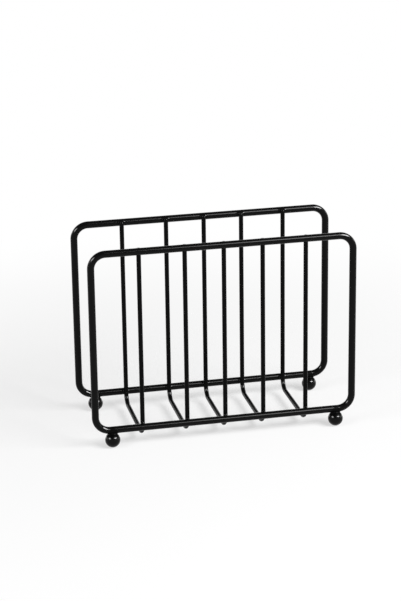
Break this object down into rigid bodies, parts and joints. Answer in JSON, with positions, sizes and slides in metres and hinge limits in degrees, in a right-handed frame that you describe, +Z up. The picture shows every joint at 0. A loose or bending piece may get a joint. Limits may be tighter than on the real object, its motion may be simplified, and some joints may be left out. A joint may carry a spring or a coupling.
{
  "type": "napkin holder",
  "caption": "Upright wire napkin holder: two rounded wire frames joined by U-shaped wires that carry the napkins, standing on small ball feet.",
  "frame": {"origin": "on the table, at the middle of the four ball feet, under the middle of the frames", "axes": "+X along the width, to the right seen from the front; +Y from the front frame to the back frame; +Z up"},
  "size_m": [0.16, 0.069, 0.1212],
  "materials": {
    "black_coat": "smooth, fairly glossy black coating on steel wire"
  },
  "bodies": {
    "root": {"front_frame": "black_coat", "back_frame": "black_coat", "u_wire_left_outer": "black_coat", "u_wire_left_inner": "black_coat", "u_wire_centre": "black_coat", "u_wire_right_inner": "black_coat", "u_wire_right_outer": "black_coat", "foot_front_left": "black_coat", "foot_front_right": "black_coat", "foot_back_left": "black_coat", "foot_back_right": "black_coat", "welds_front_top_rail": "black_coat", "welds_front_bottom_rail": "black_coat", "welds_back_top_rail": "black_coat", "welds_back_bottom_rail": "black_coat", "welds_feet": "black_coat"}
  },
  "joints": []
}
